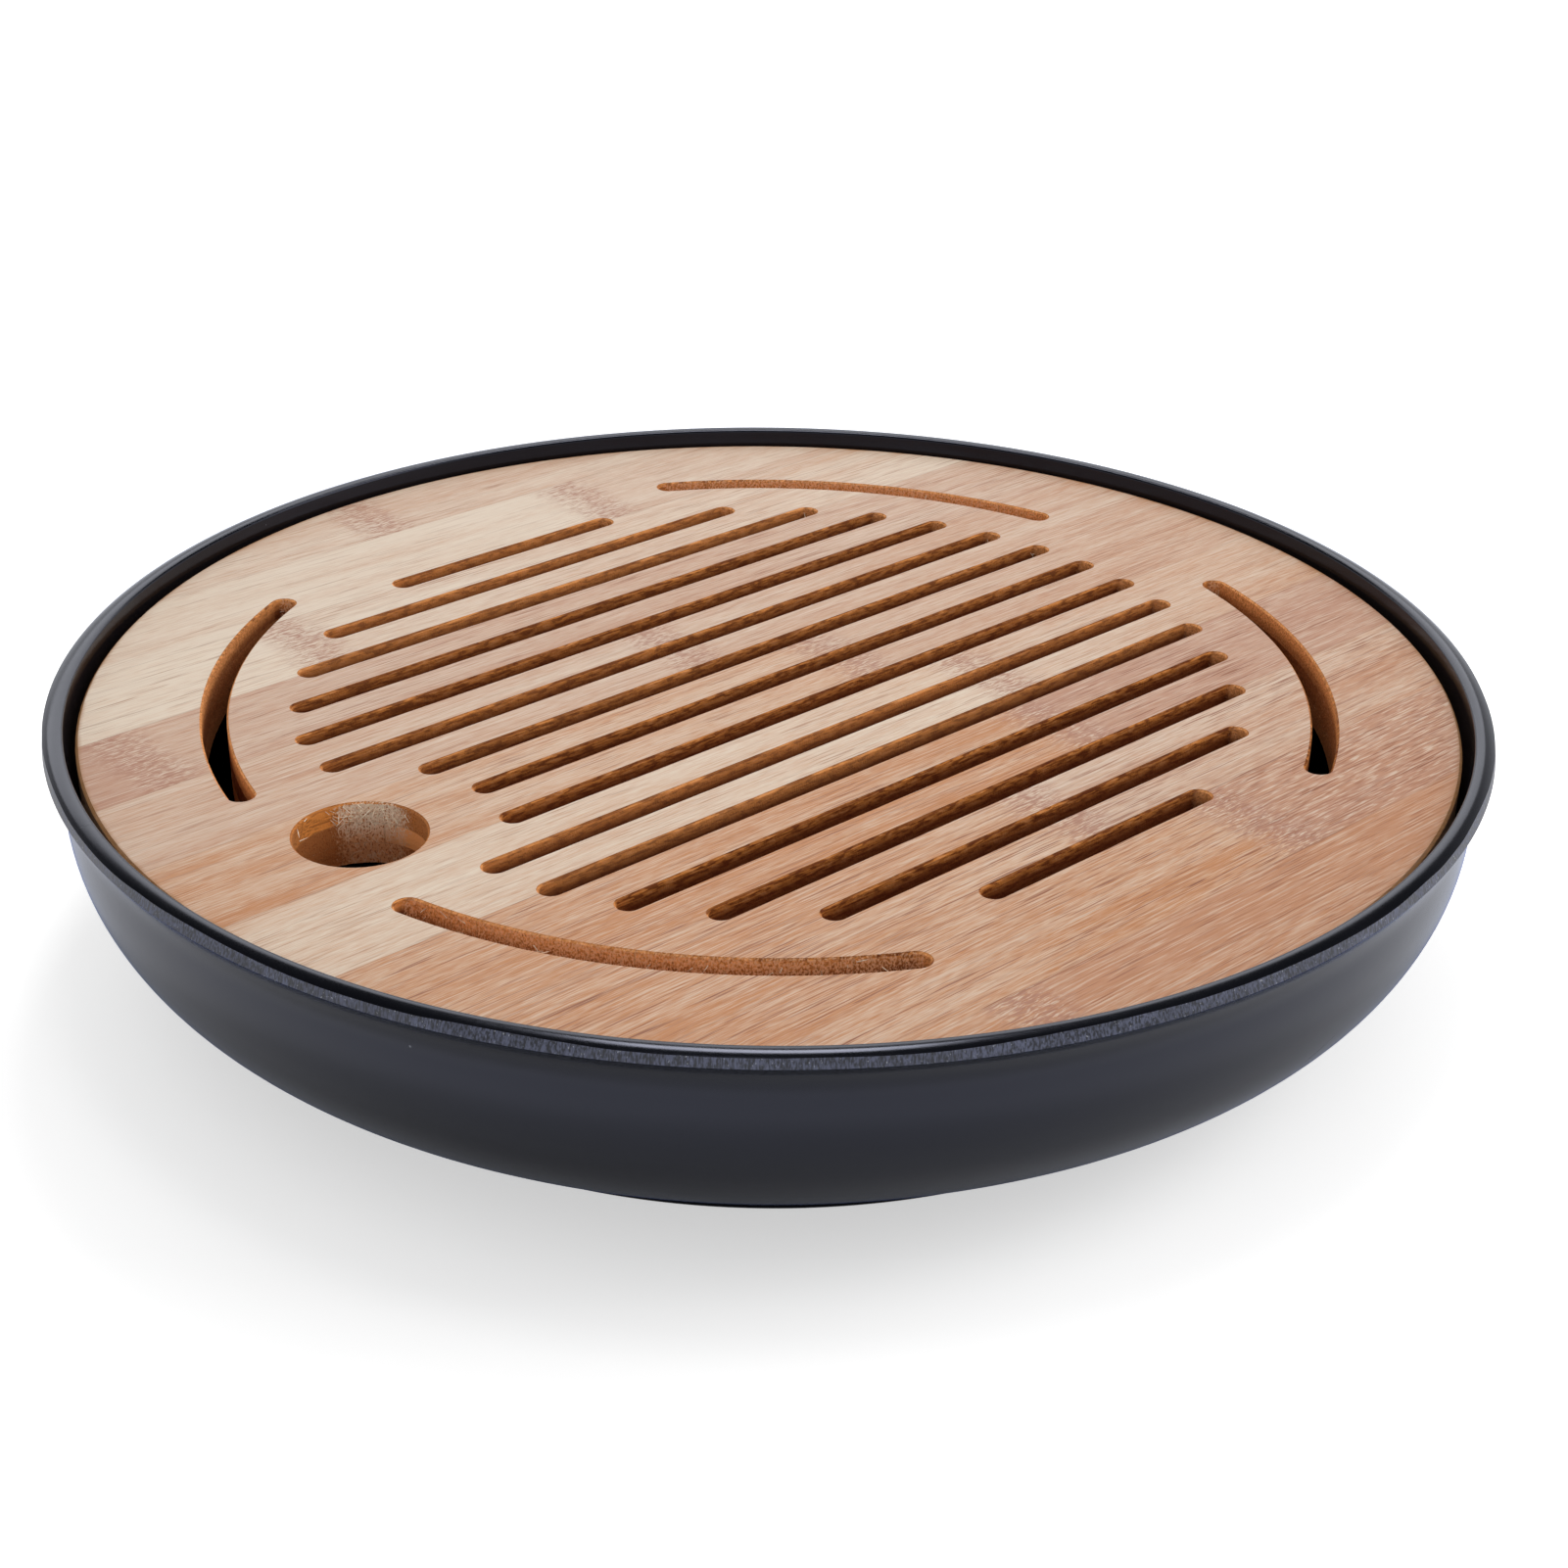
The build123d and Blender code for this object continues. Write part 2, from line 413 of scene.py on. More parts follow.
class Grain(Nodes):
    """Bamboo along, across and up its grain, in millimetres, with the patterns that its parts share."""

    def __init__(self, tree, given, bamboo):
        super().__init__(tree)
        self.given = given
        self.bamboo = bamboo
        self.along, self.across, self.up = given["Grain"].parts()
        self.shift = self.join(*[given["Seed"] * step for step in SEED_SHIFT])
        self.find_node()
        self.run = self.bent_grain()
        self.fine = self.streaks(13, bamboo.line_width / MM)
        self.medium = self.streaks(14, 0.85)
        self.broad = self.streaks(150, bamboo.band_width / MM)
        self.bundles = self.spots(13, bamboo.bundle_width / MM).fade(0.42, 0.16)
        self.fuzz = self.noise(given["Grain"], (0.36, 0.28, 0.50), self.shift, 2.0)
        self.tone = self.either_side("tone")
        self.rosy = self.either_side("pink") * self.broad.fade(0.25, 0.75, 0.7, 1.0)
        self.find_walls()

    def streaks(self, length, width, detail=1.0, straight=False):
        """Noise drawn out along the grain, this long and wide."""
        place = self.given["Grain"] if straight else self.run
        return self.noise(place, (length, width, width), self.shift, detail)

    def spots(self, length, width):
        """Distance from the middles of cells drawn out along the grain."""
        return self.cells(self.run, (length, width, width), self.shift)["Distance"]

    def find_node(self):
        """Growth node: a halo that wanders across the strip, with a faint scar."""
        reach = self.bamboo.node_reach / MM
        wander = self.streaks(400, 9, straight=True).swing(3.0)
        ragged = self.streaks(6, 0.9, 2.0, straight=True).swing(2.2)
        self.off_node = self.along - self.given["node"] - wander
        self.halo = abs(self.off_node).fade(reach, 0.0)
        self.near_node = abs(self.off_node).fade(reach, 0.25 * reach)
        self.scar = abs(self.off_node + ragged).fade(0.8, 0.1)
        self.past_node = self.off_node.fade(-3.0, 3.0)

    def bent_grain(self):
        """Place along grain that runs almost straight, and ripples a little at the node."""
        flow = self.streaks(140, 12, straight=True).swing(0.7)
        ripple = self.streaks(3.5, 2.4, straight=True).swing(0.5) * self.halo
        return self.join(self.along, self.across + (flow + ripple), self.up)

    def either_side(self, name):
        """A value of the strip's look that has another value past the node."""
        before, past = self.given[name], self.given[f"{name}_past"]
        return before + self.past_node * (past - before)

    def find_walls(self):
        """Milled walls: how they face, which opening they lie in, how deep they are, and how much painted
        shade they get.
        """
        facing_along, facing_across, facing_up = self.given["Facing"].parts()
        self.level = abs(facing_up)
        self.wall = self.level.fade(0.95, 0.80)
        self.in_hole = self.given["From hole"].fade(HOLE_REACH + 1.0, HOLE_REACH - 1.0)
        self.past_hole = 1.0 - self.in_hole
        self.from_middle = self.calc("SQRT", self.along * self.along + self.across * self.across)
        self.in_arc = self.from_middle.fade(ARC_SLOT_REACH - 2.0, ARC_SLOT_REACH + 2.0)
        self.outside = self.from_middle.fade(BOARD_RADIUS - 1.8, BOARD_RADIUS - 0.7)
        self.inside = 1.0 - self.outside
        self.depth = BOARD_TOP - self.up
        in_base = self.depth.fade(2 * PLY - 0.3, 2 * PLY + 0.1)
        self.in_core = self.depth.fade(PLY - 0.1, PLY + 0.3) * (1.0 - in_base)
        self.ends = abs(facing_along).fade(0.35, 0.75).most(self.in_hole * in_base)
        self.against = (facing_along * facing_across + self.fuzz.swing(0.30)).fade(0.15, 0.45)
        self.paleness = (self.rosy * 0.5 + self.tone).fade(0.85, 0.35)

        # Painted shade deep down in the slots, less on pale strips and at the ends of the arc slots
        deep = (self.paleness * -0.6 + self.depth).fade(-0.8, 2.8, 0.04, 0.92)
        spared = self.in_arc * abs(facing_along).fade(0.2, 0.9, 0.0, 0.30)
        self.burn = deep * (self.past_hole * self.inside) * (1.0 - spared)

    def sanded_face(self):
        """Sanded faces: tone and tint, with lines, flecks and the growth node."""
        hair = self.streaks(3.4, 0.22, 2.0)
        drift = self.noise(self.run, (55, 40, 40), self.shift, 0.0)
        tone = self.tone
        for pattern, reach in ((self.broad, 0.42), (self.medium, 0.09), (hair, 0.56), (drift, 0.18)):
            tone += pattern.swing(reach)
        bamboo = self.bamboo
        plain = self.layered(bamboo.pale, (tone.most(0.0), bamboo.tan), (self.rosy, bamboo.pink))
        return self.node_marks(self.lines_and_flecks(plain))

    def lines_and_flecks(self, surface):
        """Thin dark lines in groups, fibre bundles, pale lines and flecks."""
        pale, streak = self.bamboo.pale, self.bamboo.streak
        grouped = self.fine.fade(0.58, 0.66) * self.streaks(55, 2.4).fade(0.36, 0.58, 0.20, 1.0)
        long_lines = self.streaks(28, 0.45, 0.0).fade(0.66, 0.74)
        broken = long_lines * self.streaks(12, 1.6).fade(0.40, 0.62, 0.0, 0.55)
        marks = grouped.most(broken).most(self.bundles * 0.14) * self.given["streaks"]
        fleck = self.streaks(4.5, 0.42)
        mottle = self.given["mottle"] * self.off_node.fade(-4.0, 4.0, 0.12, 0.60)
        return self.layered(
            surface,
            (marks, streak),
            (self.fine.fade(0.42, 0.34, 0.0, 0.34), pale),
            (fleck.fade(0.52, 0.70) * mottle, streak),
            (fleck.fade(0.46, 0.30) * mottle, pale))

    def node_marks(self, surface):
        """Rosy halo of the growth node, with short dark and pale dashes that thin out away from it."""
        pale, node = self.bamboo.pale, self.bamboo.node
        dash = self.streaks(2.0, 0.32, 2.0)
        return self.layered(
            surface,
            (self.halo * self.medium.fade(0.3, 0.7, 0.12, 0.40), node),
            (self.near_node * dash.fade(0.50, 0.58, 0.0, 0.75), node),
            (self.near_node * dash.fade(0.45, 0.36, 0.0, 0.50), pale),
            (self.scar * dash.fade(0.35, 0.6, 0.0, 0.45), node))

    def wall_along(self):
        """Wall cut along the grain: golden, with dark layers, scorched patches and painted shade deep down.
        """
        bamboo, past_hole = self.bamboo, self.past_hole
        layers = self.streaks(7, 0.34, 2.0).fade(0.38, 0.66, 0.0, 0.62)
        scorch = self.streaks(2.6, 0.60, 3.0)
        fresh = (self.paleness * 0.35).most(self.in_hole * self.in_core)
        worn = self.streaks(9, 0.8, 2.0).fade(0.60, 0.42, 0.10, 0.70)
        return self.layered(
            bamboo.cut,
            (layers * (self.paleness * -0.45 + 1.0), bamboo.burnt),
            (past_hole * scorch.fade(0.49, 0.62, 0.0, 0.75), bamboo.burnt),
            (past_hole * scorch.fade(0.47, 0.34, 0.0, 0.60), bamboo.gold),
            (fresh, bamboo.gold),
            # Painted shade deep down in the slots
            (self.burn, bamboo.burnt),
            (self.level.fade(0.4, 0.65) * past_hole * worn, bamboo.burnt))

    def wall_across(self):
        """Wall cut across the grain: dark pores, pale specks and painted shade deep down."""
        bamboo = self.bamboo
        pores = self.spots(24, 0.55).fade(0.40, 0.15)
        specks = self.streaks(24, 0.42)
        return self.layered(
            bamboo.end,
            (pores.fade(0.2, 0.8, 0.0, 0.6), bamboo.streak),
            (self.past_hole * specks.fade(0.46, 0.60, 0.0, 0.85), bamboo.gold),
            # Painted shade deep down on the end grain
            (self.burn * self.depth.fade(0.8, 3.5, 0.0, 0.8), bamboo.burnt),
            (self.in_hole * self.depth.fade(PLY - 0.1, PLY + 0.3, 0.30, 0.66), bamboo.streak))

    def torn_fibres(self, cut):
        """Pale fuzz that darkens deeper down as painted shade, dark roots and curled strands where the cutter
        ran against the grain.
        """
        bamboo = self.bamboo
        furry = self.against * self.inside * self.in_hole.most(self.in_arc * 0.60 + 0.12)
        pale_fuzz = self.layered(
            bamboo.fuzz,
            # Painted shade: the fuzz darkens deeper down
            (self.depth.fade(2.5, 8.0, 0.0, 0.8), bamboo.end),
            (self.past_hole * 0.62, bamboo.gold))
        tufts = (self.in_hole * 0.11 + self.fuzz).fade(0.43, 0.58)
        curl = self.noise(self.given["Grain"], (1.5, 1.5, 1.9), self.shift)
        near_top = self.in_hole * self.depth.fade(3.0, 7.0, 0.85, 0.25)
        strands = abs(curl.swing(1.0)).fade(0.09, 0.03) * near_top
        return self.layered(
            cut,
            (furry * tufts, pale_fuzz),
            (furry * self.fuzz.fade(0.42, 0.28, 0.0, 0.55), bamboo.streak),
            (strands * self.against, bamboo.fibre_colour))

    def milled_wall(self):
        """Milled walls, with the finger hole's dark mouth, painted shade towards its foot, and glue between
        the plies.
        """
        bamboo = self.bamboo
        cut = self.layered(self.wall_along(), (self.ends, self.wall_across()))
        mouth = self.level.fade(0.4, 0.65) * self.in_hole
        height = self.up - self.given["Bottom"]
        to_ply_face = self.calc("MINIMUM", height, PLY - height)
        return self.layered(
            self.torn_fibres(cut),
            (mouth * self.against.fade(0.0, 0.5, 0.35, 0.0), bamboo.streak),
            # Painted shade towards the foot of the finger hole
            (self.in_hole * self.depth.fade(5.0, 9.5, 0.0, 0.35), bamboo.streak),
            (self.outside * 0.45, bamboo.pale),
            (to_ply_face.fade(0.16, 0.04, 0.0, 0.22), bamboo.glue))

    def whole_colour(self):
        """Sanded faces and milled walls, with glue lines between strips and painted shade at the board's
        outer edge.
        """
        to_seam = STRIP_WIDTH / 2 - abs(self.across - self.given["Middle"])
        rim = self.from_middle + self.broad.swing(0.8)
        # Painted shade at the board's outer edge, strongest on the top face, next to the basin's lip
        at_rim = rim.fade(BOARD_RADIUS - 1.3, BOARD_RADIUS - 0.1) * self.level.fade(0.5, 0.2, 0.75, 0.20)
        return self.layered(
            self.sanded_face(),
            (self.wall, self.milled_wall()),
            (to_seam.fade(0.16, 0.03, 0.0, 0.30), self.bamboo.glue),
            (at_rim, self.bamboo.edge))


def grain_group(bamboo):
    """Node group of bamboo grain."""
    nodes, given = new_group("bamboo_grain", "ShaderNodeTree", {
        "Vector": ("Grain", "Facing"),
        "Float": ("Seed", "Middle", "Bottom", "From hole", *StripLook._fields),
    }, {"Color": ("Colour",), "Float": ("Roughness", "Gloss", "Height")})
    grain = Grain(nodes.tree, given, bamboo)
    grain.add("NodeGroupOutput", {
        "Colour": grain.whole_colour(),
        "Roughness": grain.fine.fade(0.3, 0.7, 0.40, 0.52) + grain.wall * 0.25,
        "Gloss": grain.wall * -0.38 + 0.45,
        "Height": grain.fine - grain.bundles * 0.4 + grain.wall * (grain.fuzz * 2.5),
    })
    return grain.tree


def bamboo_material(name, group, place, look, crossways, bottom):
    """Material of one strip; its grain runs along X, or along Y where the strip lies crossways."""
    material, nodes = new_material(name)
    here = nodes.in_millimetres()
    facing = nodes.value("ShaderNodeNewGeometry", output="Normal")
    from_hole = nodes.vector("MULTIPLY_ADD", here, (1.0, 1.0, 0.0), (HOLE_DISTANCE, 0.0, 0.0)).distance()
    if crossways:
        here, facing = (nodes.join(y, x, z) for x, y, z in (here.parts(), facing.parts()))
    bamboo = nodes.values("ShaderNodeGroup", {
        "Grain": here,
        "Facing": facing,
        "Seed": MIDDLE_SEED + NEXT_SEED * place + (CROSS_SEED if crossways else 0),
        "Middle": place * STRIP_WIDTH,
        "Bottom": bottom / MM,
        "From hole": from_hole,
        **look._asdict(),
    }, node_tree=group)
    nodes.surface({
        "Base Color": bamboo["Colour"],
        "Roughness": bamboo["Roughness"],
        "Specular IOR Level": bamboo["Gloss"],
        "Normal": nodes.bump(bamboo["Height"], 0.05),
    })
    return material


def melamine_material(basin):
    """Black satin melamine with faint scratches, dust and uneven gloss."""
    material, nodes = new_material("black_melamine")
    place = nodes.in_millimetres()
    shift = (3.1, 7.7, 1.9)
    cloud = nodes.noise(place, (26, 26, 26), shift, 3.0)
    haze = nodes.noise(place, (2.2, 2.2, 2.2), shift, 2.0)
    lighter = [1.5 * part for part in basin.melamine]
    dust = nodes.cells(place, (13, 13, 13), shift)
    rare = nodes.value("ShaderNodeSeparateColor", {0: dust["Color"]}).fade(0.55, 0.60)
    speck = dust["Distance"].fade(0.020, 0.010) * rare
    slanted = nodes.value("ShaderNodeMapping", {"Vector": place, "Rotation": (radians(28), radians(34), 0.4)})
    scratch = nodes.noise(slanted, (24, 0.35, 24), shift, 0.0).fade(0.76, 0.82) * cloud.fade(0.60, 0.70)
    nodes.surface({
        "Base Color": nodes.layered(
            basin.melamine, (cloud.fade(0.35, 0.7, 0.0, 0.5), lighter), (speck * 0.6, basin.dust)),
        "Specular Tint": solid(basin.sheen),
        "IOR": 1.45,
        "Coat Weight": 1.0,
        "Coat IOR": 1.0,
        "Coat Tint": solid(basin.film),
        "Roughness": haze.swing(0.02) + basin.gloss_roughness + cloud.swing(0.05) + scratch * 0.2,
        "Normal": nodes.bump(haze * 0.25 - scratch, 0.012),
    })
    return material


def ground_material(basin):
    """Melamine ground back by hand: paler and rough, with fine upright scratches and bright flecks."""
    material, nodes = new_material("ground_melamine")
    place = nodes.in_millimetres()
    shift = (1.3, 4.7, 2.9)
    lines = nodes.noise(place, (0.30, 0.30, 9.0), shift, 2.0)
    patches = nodes.noise(place, (7, 7, 4), shift, 2.0)
    fleck = nodes.noise(place, (0.30, 0.30, 0.45), shift)
    dark, pale = ([factor * part for part in basin.ground] for factor in (0.3, 2.0))
    amount = lines.fade(0.36, 0.66) * patches.fade(0.30, 0.65, 0.65, 1.0)
    nodes.surface({
        "Base Color": nodes.layered(dark, (amount, pale), (fleck.fade(0.69, 0.77, 0.0, 0.8), basin.flecks)),
        "Roughness": lines.fade(0.3, 0.7, 0.38, 0.58),
        "Normal": nodes.bump(lines, 0.03),
    })
    return material


def fibre_material(bamboo):
    """Pale dry fibre, a little darker here and there."""
    material, nodes = new_material("loose_fibre")
    patches = nodes.noise(nodes.in_millimetres(), (0.8, 0.8, 0.8), (5.3, 1.1, 8.2))
    nodes.surface({
        "Base Color": nodes.layered(bamboo.fibre_colour, (patches.fade(0.35, 0.7, 0.0, 0.6), bamboo.tan)),
        "Roughness": patches.fade(0.3, 0.7, 0.55, 0.75),
        "Normal": nodes.bump(patches, 0.01),
    })
    return material


def seen_and_mirrored(nodes):
    """Whether a surface is seen by the camera itself, and whether in a reflection."""
    path = nodes.values("ShaderNodeLightPath")
    return path["Is Camera Ray"], path["Is Glossy Ray"].most(path["Is Transmission Ray"])


def floor_material(studio):
    """Pale floor that keeps the shadow, and is lifted to white where it is seen or mirrored; beneath the tray
    reflections show it unlifted, as painted shade.
    """
    material, nodes = new_material("studio_floor")
    place = nodes.in_millimetres()
    grit = nodes.noise(place, (90, 90, 90), (0.4, 2.2, 0.7), 3.0)
    away = nodes.vector("MULTIPLY", place, (1.0, 1.0, 0.0)).distance()
    seen, mirrored = seen_and_mirrored(nodes)
    # In reflections the lift fades in only outside the tray, leaving painted shade beneath it
    lifted = seen.most(mirrored * away.fade(LIFT_FROM / MM, LIFT_FULL / MM))
    nodes.surface({
        "Base Color": nodes.layered(studio.floor, (grit.fade(0.3, 0.7, 0.0, 0.03), studio.floor_grit)),
        "Roughness": 0.9,
        "Specular IOR Level": 0.0,
        "Emission Color": (1.0, 1.0, 1.0, 1.0),
        "Emission Strength": lifted * studio.floor_lift,
    })
    return material


def make_world(studio):
    """White where it is seen or mirrored, and a plain soft light on everything else."""
    world = bpy.data.worlds.new("studio_world")
    world.use_nodes = True
    world.node_tree.nodes.clear()
    nodes = Nodes(world.node_tree)
    seen, mirrored = seen_and_mirrored(nodes)
    height = nodes.value("ShaderNodeTexCoord", output="Generated").parts()[2]
    walls = height.fade(sin(WALLS_END), sin(CEILING_START), 1.0, studio.ceiling)
    light = nodes.value("ShaderNodeBackground", {
        "Color": (1.0, 1.0, 1.0, 1.0), "Strength": nodes.between(seen.most(mirrored), studio.sky, walls)})
    nodes.add("ShaderNodeOutputWorld", {"Surface": light})
    bpy.context.scene.world = world


def on_circle(centre, radius, turn):
    """Point of a circle, its angle in radians."""
    return (centre[0] + radius * cos(turn), centre[1] + radius * sin(turn))


def arc(centre, radius, start, end, steps):
    """Points of an arc, its angles in radians."""
    return [on_circle(centre, radius, start + (end - start) * step / steps) for step in range(steps + 1)]


def tangent_arc(start, heading, end):
    """Points of the arc that leaves the start in this direction and passes through the end."""
    across = (-heading[1], heading[0])
    chord = (end[0] - start[0], end[1] - start[1])
    radius = (chord[0] ** 2 + chord[1] ** 2) / (2 * (chord[0] * across[0] + chord[1] * across[1]))
    centre = (start[0] + radius * across[0], start[1] + radius * across[1])
    first = atan2(start[1] - centre[1], start[0] - centre[0])
    last = atan2(end[1] - centre[1], end[0] - centre[0])
    if last - first > pi:
        last -= 2 * pi
    if first - last > pi:
        last += 2 * pi
    return arc(centre, abs(radius), first, last, ARC_STEPS)


def rounded(corners, steps=6):
    """Points of an outline whose corners are (point, radius of rounding)."""
    points = []
    for place, (corner, radius) in enumerate(corners):
        if not radius:
            points.append(corner)
            continue
        here = Vector(corner)
        back = (Vector(corners[place - 1][0]) - here).normalized()
        on = (Vector(corners[place + 1][0]) - here).normalized()
        half = back.angle(on) / 2
        centre = here + (back + on).normalized() * (radius / sin(half))
        first = here + back * (radius / tan(half)) - centre
        last = here + on * (radius / tan(half)) - centre
        turn = atan2(first.x * last.y - first.y * last.x, first.dot(last))
        start = atan2(first.y, first.x)
        points += arc(centre, radius, start, start + turn, steps)
    return points


def crown_circle(basin):
    """Centre and radius of the lip's crown, in the section."""
    outer = Vector((basin.rim_radius, basin.band_top))
    inner = Vector((basin.mouth_radius, basin.lip_height))
    chord = inner - outer
    radius = (chord.length_squared / 4 + basin.lip_crown ** 2) / (2 * basin.lip_crown)
    inwards = Vector((-chord.y, chord.x)).normalized()
    return (outer + inner) / 2 + inwards * (radius - basin.lip_crown), radius


def sharp(points):
    """Points of an outline as corners without rounding."""
    return [(point, 0) for point in points]


def outer_section(basin, belly):
    """Corners of the section from the middle of the underside, round the outside and over the crown."""
    low, neck = -basin.belly_angle, basin.neck_angle
    outer_low = on_circle(belly, basin.belly_radius, low)
    neck_point = on_circle(belly, basin.belly_radius, neck)
    foot_top = (basin.foot_radius + basin.foot_draft, basin.foot_recess + basin.foot_root)
    foot_inner = (basin.foot_radius - basin.foot_width, 0.0)
    underside = (foot_inner[0] - basin.foot_draft, basin.foot_recess)
    lip_under = (basin.rim_radius - basin.band_undercut, basin.band_foot - basin.band_undercut)
    crown, crown_radius = crown_circle(basin)
    first = atan2(basin.band_top - crown.y, basin.rim_radius - crown.x)
    last = atan2(basin.lip_height - crown.y, basin.mouth_radius - crown.x)
    return [
        ((0.0, basin.foot_recess), 0),
        (underside, basin.foot_root),
        (foot_inner, basin.foot_edge),
        ((basin.foot_radius, 0.0), basin.foot_edge),
        (foot_top, basin.foot_root),
        *sharp(tangent_arc(outer_low, (sin(low), -cos(low)), foot_top)[-2::-1]),
        *sharp(arc(belly, basin.belly_radius, low, neck, BELLY_STEPS)[1:]),
        *sharp(tangent_arc(neck_point, (-sin(neck), cos(neck)), lip_under)[1:]),
        ((basin.rim_radius, basin.band_foot), 0),
        *sharp(arc(crown, crown_radius, first, first + CROWN_SHARE * (last - first), CROWN_STEPS)),
    ]


def inner_section(basin, belly):
    """Corners of the section from the lip's inner edge, over the ledge, to the middle of the floor."""
    low = -basin.belly_angle
    inner_radius = basin.belly_radius - basin.wall
    shoulder_reach = basin.ledge_radius - basin.ledge_draft - belly[0]
    shoulder = -atan2(sqrt(inner_radius ** 2 - shoulder_reach ** 2), shoulder_reach)
    inner_run = arc(belly, inner_radius, shoulder, low, ARC_STEPS)
    floor_start = inner_run[-1]
    floor_run = (floor_start[1] - basin.floor_height) / tan((pi / 2 + low) / 2)
    floor_corner = (floor_start[0] - floor_run, basin.floor_height)
    return [
        ((basin.mouth_radius, basin.lip_height), basin.lip_edge),
        ((basin.seat_radius, basin.ledge_height), basin.seat_edge),
        ((basin.ledge_radius, basin.ledge_height), basin.seat_edge),
        *sharp(inner_run),
        *sharp(tangent_arc(floor_start, (sin(low), -cos(low)), floor_corner)[1:]),
        ((0.0, basin.floor_height), 0),
    ]


def section_mesh(basin):
    """The section as a line of edges, with how much of the crown and of the band each point holds."""
    belly = (basin.seat_radius + basin.wall - basin.belly_radius, basin.ledge_height + basin.belly_rise)
    points = rounded(outer_section(basin, belly) + inner_section(basin, belly))
    mesh = bpy.data.meshes.new("basin_section")
    mesh.from_pydata([(x, 0.0, z) for x, z in points], [(i, i + 1) for i in range(len(points) - 1)], [])
    inner = basin.mouth_radius + basin.lip_edge
    crown = [max(0.0, (x - inner) / (basin.rim_radius - inner)) if z > basin.band_top - BY_ROUNDING else 0.0
             for x, z in points]
    band = [1.0 if x > basin.rim_radius - BY_ROUNDING else 0.0 for x, z in points]
    for name, values in (("crown", crown), ("band", band)):
        mesh.attributes.new(name, "FLOAT", "POINT").data.foreach_set("value", values)
    return mesh


def kept_value(nodes, geometry, kind, label, value):
    """Keeps a value with the geometry as it is here; gives the geometry and the value."""
    kept = nodes.add("GeometryNodeCaptureAttribute", {"Geometry": geometry})
    kept.capture_items.new(kind, label)
    nodes.feed(kept, {label: value})
    return Value(nodes, kept.outputs[0]), Value(nodes, kept.outputs[label])


def held_share(nodes, name):
    """A share that the points of the section hold."""
    return nodes.value("GeometryNodeInputNamedAttribute", {"Name": name}, data_type="FLOAT")


def ground_place(nodes, given, place, turn):
    """Place of a point of the turned section; the band's upper edge wanders, most on one side."""
    around = turn * (2 * pi)
    east, north = nodes.calc("COSINE", around), nodes.calc("SINE", around)
    waver = nodes.value("ShaderNodeTexNoise", {
        "Vector": nodes.join(east, north, given["Seed"]), "Scale": given["Wavers"], "Detail": 2.0,
        "Roughness": 0.35})
    heavy = nodes.calc("COSINE", around - given["Grind side"]).fade(-0.2, 0.9, 0.10, 1.0)
    depth = given["Grind depth"] * heavy * waver.fade(0.3, 0.7, 0.45, 1.0)
    crown = held_share(nodes, "crown")
    reach, _, level = place.parts()
    centre_reach, _, centre_level = given["Crown centre"].parts()
    radius = reach - depth * crown
    aside = radius - centre_reach
    rise = nodes.calc("SQRT", given["Crown radius"] * given["Crown radius"] - aside * aside)
    height = nodes.between(crown > 0.0, level, centre_level + rise)
    return nodes.join(radius * east, radius * north, height)


def turning_tree():
    """Geometry nodes that turn a section about Z and waver the upper edge of its ground band."""
    nodes, given = new_group("turned_basin", "GeometryNodeTree", {
        "Geometry": ("Geometry",),
        "Int": ("Segments",),
        "Float": ("Grind depth", "Wavers", "Grind side", "Seed", "Crown radius"),
        "Vector": ("Crown centre",),
        "Material": ("Melamine", "Ground melamine"),
    }, {"Geometry": ("Geometry",)})

    # The section swept round a circle; each point keeps its place in the section and its turn round it
    section = nodes.value("GeometryNodeMeshToCurve", {"Mesh": given["Geometry"]})
    section, place = kept_value(nodes, section, "VECTOR", "Place", nodes.value("GeometryNodeInputPosition"))
    circle = nodes.value("GeometryNodeCurvePrimitiveCircle", {"Resolution": given["Segments"]})
    factor = nodes.value("GeometryNodeSplineParameter", output="Factor")
    circle, turn = kept_value(nodes, circle, "FLOAT", "Turn", factor)
    swept = nodes.value("GeometryNodeCurveToMesh", {"Curve": circle, "Profile Curve": section})
    placed = nodes.shape("SetPosition", swept, {"Position": ground_place(nodes, given, place, turn)})

    # Closed at the middle, with crisp edges only where the faces turn sharply
    closed = nodes.shape("MergeByDistance", placed, {"Distance": AT_MIDDLE})
    soft = nodes.value("GeometryNodeInputMeshEdgeAngle") < CRISP_EDGE
    smooth = nodes.shape("SetShadeSmooth", closed, {"Shade Smooth": True})
    edged = nodes.shape("SetShadeSmooth", smooth, {"Shade Smooth": soft}, domain="EDGE")
    real = nodes.shape("RealizeInstances", edged)
    moulded = nodes.shape("SetMaterial", real, {"Material": given["Melamine"]})
    nodes.add("NodeGroupOutput", {0: nodes.shape("SetMaterial", moulded, {
        "Selection": held_share(nodes, "band") > 0.99, "Material": given["Ground melamine"]})})
    return nodes.tree


def milled_walls(nodes, given):
    """Which faces are walls of the board's openings, and how thickly fibres lie on them."""
    facing_x, facing_y, facing_z = nodes.value("GeometryNodeInputNormal").parts()
    x, y, _ = nodes.value("GeometryNodeInputPosition").parts()
    flat = nodes.join(x, y)
    slant = facing_x * facing_y
    inside = flat.distance() < given["Board radius"] * 0.9
    wall = (abs(facing_z) < 0.3) * (inside * (abs(slant) > 0.01))
    from_hole = nodes.vector("ADD", flat, nodes.join(given["Hole distance"])).distance()
    near_hole = from_hole < given["Hole reach"]
    return wall, slant.fade(0.10, 0.4, 0.03, 1.0) * (near_hole * MORE_IN_HOLE + FIBRES_IN_SLOTS)


def any_number(nodes, low, high, seed):
    """A number of its own for each point, from low to high."""
    return nodes.value("FunctionNodeRandomValue", {2: low, 3: high, "Seed": seed}, 1, data_type="FLOAT")


